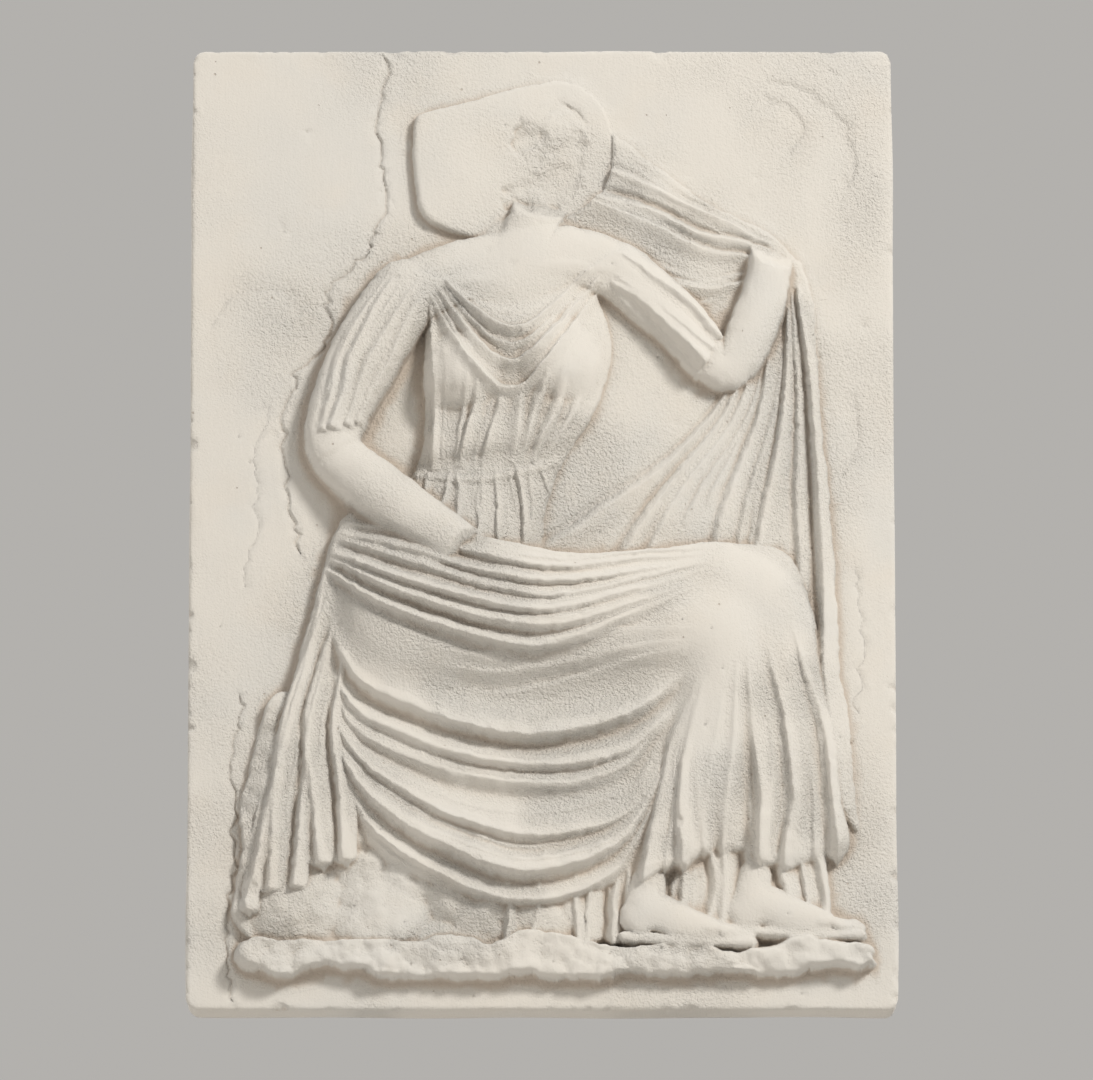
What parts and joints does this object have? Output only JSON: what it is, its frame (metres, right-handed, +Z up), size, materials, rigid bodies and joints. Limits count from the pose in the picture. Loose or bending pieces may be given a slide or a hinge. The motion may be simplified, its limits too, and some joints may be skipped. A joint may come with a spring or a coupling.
{
  "type": "plaster relief plaque",
  "caption": "Upright rectangular plaster wall plaque, cast with a headless seated draped figure in high relief and flat at the back.",
  "frame": {"origin": "centre of the slab's flat back face, the face that lies against the wall", "axes": "+Z up along the plaque's height, +X to the right as the viewer sees the relief, +Y into the wall, so that the relief faces -Y"},
  "size_m": [0.3339, 0.0778, 0.4608],
  "materials": {
    "plaster": "matte"
  },
  "bodies": {
    "root": {"relief_plaque": "plaster"}
  },
  "joints": []
}
